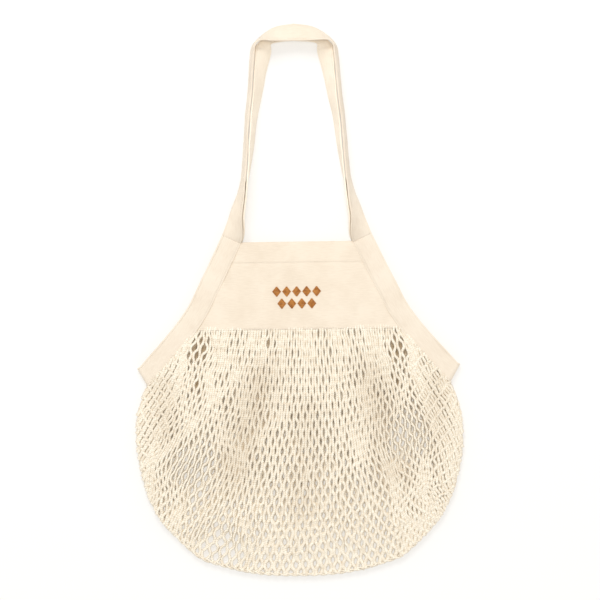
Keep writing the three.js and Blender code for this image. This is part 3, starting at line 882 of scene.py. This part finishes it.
def fan_x(share, y):
    """Sideways place of wales at heights below the panel; share runs from -1 to 1 across it."""
    fan = table(NET_FAN)
    down = share_down(y)
    pitch, middle, side = (np.interp(down, fan["down"], fan[name])
                           for name in ("pitch", "middle", "side"))
    past_edge = np.maximum(np.abs(share) - FAN_EDGE, 0)
    spread = np.sign(share) * (np.minimum(np.abs(share), FAN_EDGE) + past_edge * side)
    return middle + spread * pitch * PANEL_MESHES / 2


def net_plan():
    """Plan places of the junctions, by row and gap, before the net settles."""
    seam = seam_line(-NET_TUCK)
    corner_y = net_top + NET_TUCK
    corner = np.array([seam_at_height(seam, corner_y), corner_y, 0])
    rim = np.concatenate([[corner], seam[seam[:, 1] < net_top], [fold_start]])
    band_share = 2 * BAND_MESHES / PANEL_MESHES
    share = (np.arange(WALES + 1) / WALES * 2 - 1) * (1 + band_share)
    past = np.clip((np.abs(share) - 1) / band_share, 0, 1)
    on_rim = along_line(rim, past)
    rim_x = np.where(np.abs(share) > 1, on_rim[:, 0] * np.sign(share), share * corner[0])
    rim_y = np.where(np.abs(share) > 1, on_rim[:, 1], corner[1])
    row = np.arange(ROWS + 1.0)[:, None]
    drop = ROW_PITCH * row - ROW_PITCH_LOSS * row ** 2
    y = rim_y - drop * (1 - SIDE_ROW_LOSS * np.minimum(np.abs(share), SIDE_LIMIT) ** 2)
    x = fan_x(share, y) + (rim_x - fan_x(share, y[0])) * np.exp(-row / FAN_HOLD)
    turn = row / RIM_INSET_ROW
    x = x - np.sign(share) * np.sqrt(np.sin(past * math.pi)) * RIM_INSET * turn * np.exp(1 - turn)
    plan = np.stack([x, y], -1)
    shift = drawn_apart(plan, NET_SPREADS)
    shift[0] = 0
    return plan + shift


# How the junctions settle

SHARED_DRIFT = 0.9
SHARED_PITCH = 42.0
SHARED_NOISE = 0.22
SETTLE_ROUNDS = 50
SETTLE_PUSH = 1.5
HELD_ROWS = 4
STEADY_ROWS = 16
# Junctions tied to each other: rows and gaps apart, and the distances in mm that they keep to
LINKS = (
    ("down", "across", "shortest", "longest", "stiffness"),
    (1, 1, LEG_LENGTH * 0.35, LEG_LENGTH, 0.5),
    (1, -1, LEG_LENGTH * 0.35, LEG_LENGTH, 0.5),
    (0, 2, YARN_RADIUS * 3.2, LEG_LENGTH * 1.5, 0.4),
    (2, 0, LEG_LENGTH * 0.85, LEG_LENGTH * 2, 0.3),
)


def settle(plan, seed):
    """Lets the junctions find places with legs no longer than the yarn allows."""
    local = np.random.default_rng(seed)
    rows, gaps, _ = plan.shape
    row = np.arange(rows)[:, None]
    used = (row + np.arange(gaps)) % 2 == 0
    free = (used & (row > 0))[..., None]
    calm = (np.minimum(row / HELD_ROWS, 1) * (1 + np.minimum(row / STEADY_ROWS, 1)) / 2)[..., None]
    drift = wandering(plan, SHARED_PITCH, seed + 3) * SHARED_DRIFT
    noise = local.normal(size=plan.shape) * SHARED_NOISE
    place = plan + np.where(free, noise + drift * calm, 0)
    for _ in range(SETTLE_ROUNDS):
        push = np.zeros_like(place)
        count = np.zeros(used.shape)
        for down, across, shortest, longest, stiffness in LINKS[1:]:
            low = max(-across, 0)
            high = gaps - max(across, 0)
            start = (slice(0, rows - down), slice(low, high))
            end = (slice(down, rows), slice(low + across, high + across))
            way = place[end] - place[start]
            size = np.maximum(np.linalg.norm(way, axis=-1), TINY)
            wanted = np.clip(size, shortest, longest)
            pulled = used[start] & used[end] & (size != wanted)
            move = way * ((size - wanted) / size * stiffness)[..., None]
            move = np.where(pulled[..., None], move, 0)
            push[start] += move
            push[end] -= move
            count[start] += pulled
            count[end] += pulled
        place += np.where(free, push / np.maximum(count, 1)[..., None] * SETTLE_PUSH, 0)
    return place


# Heights of the net's two layers

TUCK_DEPTH = 1.15
SEAM_RISE = 0.05
LOFT_KEPT = 0.5
LOW_END = 0.6
YARN_CLEAR = 1.25
BACK_LIFT = 3.6
BACK_RUMPLE = 0.8
SETTLED_DOWN = 0.12
# Pitch and height in mm
NET_RUMPLE = ((60.0, 0.5), (24.0, 0.35))


def fold_depth(plan):
    """How deep the net is pressed in at its folds, from 0 to 1."""
    folds = table(NET_FOLDS)
    starts = net_places(folds["across"], folds["down"])
    ends = net_places(folds["across_end"], folds["down_end"])
    depth = np.zeros(plan.shape[:-1])
    for start, end, most, reach in zip(starts, ends, folds["depth"], folds["reach"]):
        way = end - start
        t = np.clip((plan - start) @ way / (way @ way), 0, 1)
        away = np.linalg.norm(plan - start - t[..., None] * way, axis=-1) / (reach * NET_WIDTH)
        depth += most * np.exp(-away ** 2)
    return np.minimum(depth, 1)


def round_rise(share):
    rest = 1 - np.clip(share, 0, 1)
    return np.sqrt(1 - rest * rest)


def layer_heights(plan, front, seed):
    """Height of the yarn's middle over the net."""
    down = np.clip(share_down(plan[..., 1]), 0, 1)
    swell = table(NET_SWELL)
    fullness = np.interp(down, swell["down"], swell["swell"])
    rumple = rolling(plan, NET_RUMPLE, seed)
    settled = np.clip(down / SETTLED_DOWN, 0, 1)
    clear = YARN_RADIUS * YARN_CLEAR
    if front:
        crest = RIM_TOP + (NET_LOFT - RIM_TOP) * LOFT_KEPT * fullness * (1 - fold_depth(plan))
        crest = crest * (1 - LOW_END * down ** 3)
        level = crest - clear + rumple * settled
        tucked = FRONT_LEVEL - TUCK_DEPTH
        level = tucked + (level - tucked) * np.clip(down / SEAM_RISE, 0, 1)
    else:
        level = clear + (np.abs(rumple) * BACK_RUMPLE + BACK_LIFT * fullness) * settled
    rise = round_rise(depth_inside(plan) / ROUNDING)
    return MIDDLE_LEVEL + (level - MIDDLE_LEVEL) * rise


# Strands of the net

LEG_PLACES = (0.0, 0.22, 0.38, 0.5, 0.62, 0.78)
LEG_GIRTH = (0.94, 1.0, 1.1, 1.12, 1.1, 1.0)
GIRTH_NOISE = 0.05
CROSS_START = 0.14
JOIN_SHARE = 0.86
SLACK_RISE = 0.09
SLACK_SWAY = 0.02
OWN_DRIFT = 0.8
OWN_PITCH = 30.0
OWN_NOISE = 0.18
OWN_MARGIN = 25.0
BACK_GIRTH = 1.25
BACK_DENSE = 0.4
# Painted shade on the lower layer's yarn at the panel and further down, up to FAR_DOWN of the height
BACK_SHADE = (0.55, 0.05)
FAR_DOWN = 0.8
# Share of the height down the net at which the painted shade in the folds begins, and how soon it is
# full
FOLD_SHADE_START = 0.06
FOLD_SHADE_REACH = 0.15
PARTING_REACH = 1.2
THICKER_LOW = 0.2
DRAWN_THIN = 0.26
# Share of the painted shade that the open patches take away
DRAWN_LIGHT = 0.85
# Where the net lies stretched open, its yarn is drawn thin and carries less painted shade
OPEN_PATCHES = (
    ("across", "down", "reach", "share"),
    (-0.5, 0.9, 45, 1.0),
    (-0.7, 0.56, 30, 1.0),
    (0.66, 0.44, 32, 1.0),
    (0.3, 0.9, 26, 0.6),
)


def two_away(index, count):
    """Index two before and two after each index, or the same one where the row ends."""
    return np.where(index >= 2, index - 2, index), np.where(index + 2 < count, index + 2, index)


def strand_paths(plan, heights, seed, lift):
    """Path of every zigzag strand of one layer, (strands, points, 3)."""
    local = np.random.default_rng(seed)
    rows, gaps, _ = plan.shape
    junctions = np.concatenate([plan, heights[..., None]], -1)
    strand = np.arange(WALES)[:, None]
    row = np.arange(rows)[None]
    to_right = (strand + 1 + row) % 2 == 0
    gap = strand + to_right
    before, after = two_away(gap, gaps)
    above, below = two_away(row, rows)
    lateral = unit(junctions[row, after] - junctions[row, before])
    down = unit(junctions[below, gap] - junctions[above, gap])
    side = np.where(to_right, -1.0, 1.0)[..., None]
    points = junctions[row, gap] + lateral * side * YARN_RADIUS * JOIN_SHARE
    start = points[:, :-1]
    end = points[:, 1:]
    chord = np.linalg.norm(end - start, axis=-1)
    slack = np.sqrt(np.maximum(LEG_LENGTH ** 2 - chord ** 2, 0))
    t = np.array(LEG_PLACES)[:, None]
    crossing = np.clip((t - CROSS_START) / (1 - 2 * CROSS_START), 0, 1)
    crossing = crossing * crossing * (3 - 2 * crossing)
    reach = chord[..., None, None]
    leave = start[:, :, None] + down[:, :-1, None] * reach * t
    arrive = end[:, :, None] - down[:, 1:, None] * reach * (1 - t)
    path = leave * (1 - crossing) + arrive * crossing
    bow = np.sin(t[:, 0] * math.pi)
    path[..., 2] += bow * (slack * local.uniform(0, SLACK_RISE, slack.shape))[..., None] * lift
    path[..., 0] += bow * (slack * local.normal(0, SLACK_SWAY, slack.shape))[..., None]
    return np.concatenate([path.reshape(WALES, -1, 3), points[:, -1:]], 1)


def open_patch(plan):
    """Share by which the yarn is drawn thin where the net lies stretched open."""
    patches = table(OPEN_PATCHES)
    total = np.zeros(plan.shape[:-1])
    for (_, near), share in zip(nearness(plan, patches), patches["share"]):
        total += share * near
    return np.minimum(total, 1)


def shade(plan, front):
    """Share of painted shade in the yarn's colour: in folds, on the lower layer and below the
    partings.
    """
    down = share_down(plan[:, 1])
    share = fold_depth(plan) * np.clip((down - FOLD_SHADE_START) / FOLD_SHADE_REACH, 0, 1)
    if not front:
        near_panel, far = BACK_SHADE
        share = share + near_panel + (far - near_panel) * np.clip(down / FAR_DOWN, 0, 1)
        for _, near in nearness(plan, table(NET_PARTINGS), PARTING_REACH):
            share = share + PARTING_SHADE * near
    return share * (1 - DRAWN_LIGHT * open_patch(plan))


def strand_radii(paths, front, local):
    """Radius of the yarn at each point of the strands."""
    down = np.clip(share_down(paths[..., 1]), 0, 1)
    drawn = open_patch(paths[..., :2])
    girth = np.append(np.tile(LEG_GIRTH, ROWS), LEG_GIRTH[0])
    girth = girth + GIRTH_NOISE * local.normal(size=paths.shape[:2])
    girth = girth * (1 + THICKER_LOW * down * (1 - drawn)) * (1 - DRAWN_THIN * drawn)
    return YARN_RADIUS * girth * (1 if front else BACK_GIRTH + BACK_DENSE * (1 - down))


def net_layer(name, front, shared, seed):
    """One layer of the net as two joined meshes of strands, cut at the fold line."""
    local = np.random.default_rng(seed)
    own = wandering(shared, OWN_PITCH, seed + 5) * OWN_DRIFT
    own = own + local.normal(size=shared.shape) * OWN_NOISE
    plan = shared + own * np.clip(depth_inside(shared) / OWN_MARGIN, 0, 1)[..., None]
    if front:
        plan = plan + drawn_apart(plan, NET_PARTINGS)
    plan[0] = shared[0]
    heights = layer_heights(plan, front, seed + 10)
    paths = strand_paths(plan, heights, seed + 20, 1.0 if front else 0.0)
    kept = np.minimum.accumulate(depth_inside(paths[..., :2]) > 0, axis=1)
    kept[:, :2] = True
    radii = strand_radii(paths, front, local)
    paths[..., 2] = np.maximum(paths[..., 2], radii + TABLE_GAP)
    pieces = []
    for side, chosen in (("left", slice(0, WALES // 2)), ("right", slice(WALES // 2, WALES))):
        points, quads, uvs = tubes(paths[chosen], radii[chosen])
        whole = np.repeat(kept[chosen][:, 1:].ravel(), TUBE_SIDES)
        uvs = uvs.reshape(-1, 4, 2)[whole].reshape(-1, 2)
        numbers, quads = np.unique(quads[whole], return_inverse=True)
        points = points[numbers]
        # Each point carries its share of painted shade for the yarn
        pieces.append(add_mesh(f"{name}_{side}", points, quads.reshape(-1, 4), uvs, yarn,
                               crease_and_painted_shade=shade(points[:, :2], front)))
    return pieces


# Strands along the fold line

FOLD_START = 0.01
FOLD_STEPS = 700
FOLD_PITCH = 21.0
FOLD_INSET = 1.6
FOLD_SWAY = 1.2
FOLD_RADIUS = 1.1
FOLD_DRIFT = 1.5
FOLD_DRIFT_PITCH = 90.0
FOLD_SEED = 7


def fold_strands():
    """Two twisted strands that close the meshes along the fold line."""
    line = along_line(OUTLINE, np.linspace(FOLD_START, 1, FOLD_STEPS))
    line = np.concatenate([line, mirrored(line[-2::-1])])
    way = unit(np.gradient(line, axis=0))
    inward = np.stack([way[:, 1], -way[:, 0], np.zeros(len(way))], -1)
    twist = (math.tau * running_length(line) / FOLD_PITCH
             + waves(line[:, :2], FOLD_DRIFT_PITCH, FOLD_SEED) * FOLD_DRIFT)
    paths = []
    for phase in (twist, twist + math.pi):
        path = line + inward * (FOLD_INSET + np.sin(phase) * FOLD_SWAY)[:, None]
        path[:, 2] = MIDDLE_LEVEL + np.cos(phase) * FOLD_SWAY
        paths.append(path)
    paths = np.array(paths)
    points, quads, uvs = tubes(paths, np.full(paths.shape[:2], FOLD_RADIUS))
    return add_mesh("net_fold", points, quads, uvs, yarn)


# Generic stitched lattice on the panel: satin-stitched lozenges in two staggered rows

LOZENGE_ROWS = (
    # middle height below the panel's top, lozenges in the row
    (58.0, 5),
    (72.5, 4),
)
LOZENGE_PITCH = 12.0
LOZENGE_WIDTH = 10.0
LOZENGE_HEIGHT = 12.5
MOTIF_MIDDLE = -1.2
SATIN_PITCH = 0.55
SATIN_RADIUS = 0.32
SATIN_RISE = 0.28
SATIN_CLEAR = 0.05
SATIN_OVERHANG = 0.3
SATIN_WANDER = 0.05
SATIN_POINTS = 6
EMBROIDERY_SEED = 11


def embroidery(surface):
    """Points, quads and uvs of the satin stitches on the panel's outer face."""
    x, y, outer = surface
    rng = np.random.default_rng(EMBROIDERY_SEED)
    along = np.linspace(-1, 1, SATIN_POINTS)
    dome = SATIN_RISE * np.sqrt(np.maximum(1 - along ** 2, 0)) + SATIN_CLEAR
    lines = int(LOZENGE_HEIGHT / SATIN_PITCH)
    paths = []
    for height, count in LOZENGE_ROWS:
        for index in range(count):
            middle = MOTIF_MIDDLE + (index - (count - 1) / 2) * LOZENGE_PITCH
            for line in range(1, lines):
                share = line / lines * 2 - 1
                reach = LOZENGE_WIDTH / 2 * (1 - abs(share)) + SATIN_OVERHANG
                stitch_x = middle + along * reach
                stitch_y = panel_top - height + share * LOZENGE_HEIGHT / 2
                row = np.argmin(np.abs(y[:, 0] - stitch_y))
                level = np.interp(stitch_x, x[row][::-1], outer[row][::-1]) + dome
                stitch_y = np.full(SATIN_POINTS, stitch_y + rng.normal(0, SATIN_WANDER))
                paths.append(np.stack([stitch_x, stitch_y, level], -1))
    paths = np.array(paths)
    return tubes(paths, np.full(paths.shape[:2], SATIN_RADIUS))


# Build the bag

front_panel, front_seams, front_surface = panel("front_panel", RIM_TOP, -1, seed=3)
back_panel, back_seams, _ = panel("back_panel", 0.0, 1, seed=4)
right_band, right_seams, band_length = band("right_binding", 1)
left_band, left_seams, _ = band("left_binding", -1)
sections = strap_sections(np.linspace(0, STRAP_LAST, STRAP_LAST * STEPS_PER_ROW + 1))
front_strap, front_strap_seams, front_strap_length = strap("front_strap", sections[0], tape, seed=31)
back_strap, back_strap_seams, back_strap_length = strap(
    "back_strap", sections[1], shaded_tape, seed=32)
every_seam = joined(
    front_seams + back_seams + right_seams + left_seams + front_strap_seams + back_strap_seams)
seams = add_mesh("seam_stitches", *every_seam, thread)
motif = add_mesh("lozenge_embroidery", *embroidery(front_surface), floss)
settled_plan = settle(net_plan(), seed=51)
net_front = net_layer("net_front", True, settled_plan, seed=61)
net_back = net_layer("net_back", False, settled_plan, seed=71)
net_fold = fold_strands()

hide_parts("panel_front")
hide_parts("panel_back")
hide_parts("side_band_right")
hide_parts("side_band_left")
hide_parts("strap_front")
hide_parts("strap_back")
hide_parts("net_bag")
for piece, slot in (
        (front_panel, "canvas"), (back_panel, "canvas"), (right_band, "tape"),
        (left_band, "tape"), (front_strap, "tape"), (back_strap, "tape"), (seams, "tape"),
        (motif, "canvas"), *((net, "net") for net in (net_fold, *net_front, *net_back))):
    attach(piece, "root")


# Camera, light and floor

# PIXEL, VIEW_X, VIEW_Y and SENSOR are in mm, other lengths in metres
PIXEL = 1.2
PHOTO_PIXELS = 600
PHOTO_ROLL = 0.83
VIEW_X = 2.7
VIEW_Y = -0.4
CAMERA_HEIGHT = 2.6
FOCUS_LEVEL = 0.01
SENSOR = 36.0
FAR_CLIP = 20
FLOOR_SIZE = 8
FLOOR_COLOUR = (0.53, 0.53, 0.53)
FLOOR_ROUGHNESS = 0.9
GLOW_COLOUR = (1.0, 0.96, 0.89)
FLOOR_GLOW = 0.39
WORLD_STRENGTH = 0.685
LIGHTS = (
    ("name", "place", "size", "power"),
    ("key", (-0.35, 1.8, 1.8), 1.0, 22.0),
    ("overhead", (0.05, 0.1, 3.0), 0.7, 28.0),
    ("left_side", (-2.2, 0.2, 0.6), 1.0, 6.0),
    ("right_side", (2.2, 0.2, 0.6), 1.0, 6.0),
)


def add_camera():
    data = bpy.data.cameras.new("camera")
    data.sensor_width = SENSOR
    data.lens = SENSOR * CAMERA_HEIGHT / (PHOTO_PIXELS * PIXEL * MM)
    data.clip_end = FAR_CLIP
    camera = bpy.data.objects.new("camera", data)
    camera.location = (VIEW_X * MM, VIEW_Y * MM, CAMERA_HEIGHT + FOCUS_LEVEL)
    camera.rotation_euler = (0, 0, math.radians(-PHOTO_ROLL))
    bpy.context.scene.collection.objects.link(camera)
    bpy.context.scene.camera = camera


def add_floor():
    material, _, shader = new_material("white_floor", FLOOR_COLOUR, FLOOR_ROUGHNESS)
    shader.inputs["Emission Color"].default_value = (*GLOW_COLOUR, 1)
    shader.inputs["Emission Strength"].default_value = FLOOR_GLOW
    bpy.ops.mesh.primitive_plane_add(size=FLOOR_SIZE, location=(0, 0, 0))
    floor = bpy.context.object
    floor.name = "floor"
    floor.data.materials.append(material)


def add_world():
    world = bpy.data.worlds.new("studio")
    bpy.context.scene.world = world
    world.use_nodes = True
    background = world.node_tree.nodes["Background"]
    background.inputs["Color"].default_value = (1, 1, 1, 1)
    background.inputs["Strength"].default_value = WORLD_STRENGTH


def add_lights():
    """Square lamps, each turned towards the middle of the bag."""
    for name, place, size, power in LIGHTS[1:]:
        data = bpy.data.lights.new(name, "AREA")
        data.shape = "SQUARE"
        data.size = size
        data.energy = power
        light = bpy.data.objects.new(name, data)
        light.location = place
        x, y, z = place
        light.rotation_euler = (math.atan2(math.hypot(x, y), z), 0, math.atan2(-x, y) + math.pi)
        bpy.context.scene.collection.objects.link(light)


add_camera()
add_floor()
add_world()
add_lights()
bpy.context.scene.view_settings.view_transform = "Standard"
